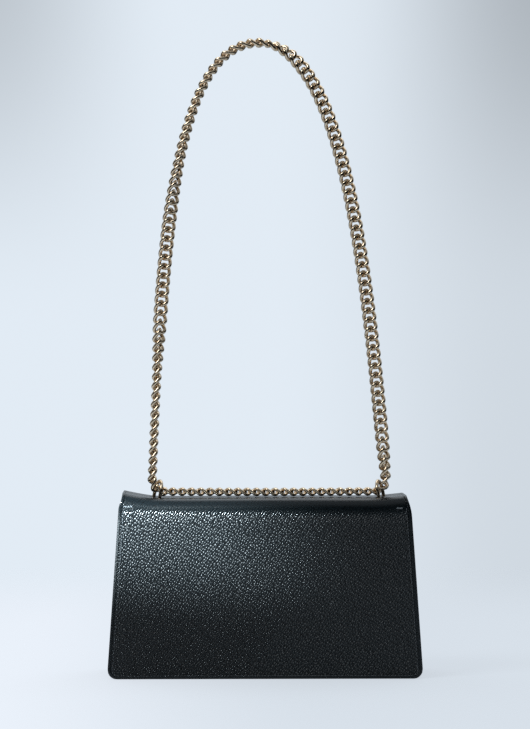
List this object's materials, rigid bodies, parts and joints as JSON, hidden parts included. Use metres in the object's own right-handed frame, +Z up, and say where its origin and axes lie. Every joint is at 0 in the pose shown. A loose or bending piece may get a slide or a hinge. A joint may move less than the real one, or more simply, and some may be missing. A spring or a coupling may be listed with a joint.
{
  "type": "chain shoulder bag",
  "caption": "Structured leather flap bag with gussets, a lined compartment, inner zip pocket and a curb chain threaded through two rings.",
  "frame": {"origin": "centre of the bag's footprint on the floor", "axes": "+X to the right of the pictured back face, +Y from the back towards the flap and front, +Z up"},
  "size_m": [0.284, 0.088, 0.578],
  "materials": {
    "leather": "pebbled, semi-gloss",
    "smooth_leather": "smooth, satin",
    "lining": "matt twill",
    "board": "matt fibre board",
    "tape": "woven, matt",
    "steel": "nickel-plated, satin",
    "gold": "pale gold plate, polished"
  },
  "bodies": {
    "bag": {"back_panel": "leather", "front_panel": "leather", "base_panel": "leather", "gusset_left": "smooth_leather", "gusset_right": "smooth_leather", "gusset_lining_left": "lining", "gusset_lining_right": "lining", "back_board": "board", "front_board": "board", "base_board": "board", "back_lining": "lining", "front_lining": "lining", "base_lining": "lining", "top_facing": "smooth_leather", "front_facing": "smooth_leather", "top_stay": "board", "ring_plate_left": "steel", "ring_plate_right": "steel", "ring_saddle_left": "steel", "ring_saddle_right": "steel", "ring_rivets": "steel", "zip_pouch": "lining", "zip_tape": "tape", "zip_teeth": "gold", "zip_stops": "gold", "slip_pocket": "smooth_leather", "snap_socket": "gold", "snap_socket_washer": "steel"},
    "flap": {"flap_panel": "leather", "flap_board": "board", "flap_lining": "smooth_leather", "snap_stud": "gold", "snap_stud_washer": "steel"},
    "slider": {"zip_slider": "gold"},
    "puller": {"zip_puller": "gold", "puller_tab": "smooth_leather"},
    "left_ring": {"ring_left": "gold"},
    "right_ring": {"ring_right": "gold"},
    "chain": {"chain_top": "gold", "chain_right": "gold", "chain_left": "gold"}
  },
  "joints": [
    {"name": "flap_hinge", "type": "hinge", "parent": "bag", "child": "flap", "pos_m": [0, 0, 0.1665], "axis": [1, 0, 0], "range_deg": [0, 100]},
    {"name": "ring_left_lean", "type": "hinge", "parent": "bag", "child": "left_ring", "pos_m": [-0.099, -0.0135, 0.1567], "axis": [-0.309, 0.9511, 0], "range_deg": [0, 10]},
    {"name": "ring_right_lean", "type": "hinge", "parent": "bag", "child": "right_ring", "pos_m": [0.107, -0.0135, 0.1567], "axis": [-0.309, -0.9511, 0], "range_deg": [0, 10]},
    {"name": "chain_swing", "type": "hinge", "parent": "bag", "child": "chain", "pos_m": [0, -0.0135, 0.17], "axis": [1, 0, 0], "range_deg": [0, 45]},
    {"name": "zip_slide", "type": "slide", "parent": "bag", "child": "slider", "axis": [-1, 0, 0], "range_m": [0, 0.155]},
    {"name": "puller_swing", "type": "hinge", "parent": "slider", "child": "puller", "pos_m": [0.0795, -0.02838, 0.09323], "axis": [1, 0, 0], "range_deg": [0, 80]}
  ]
}
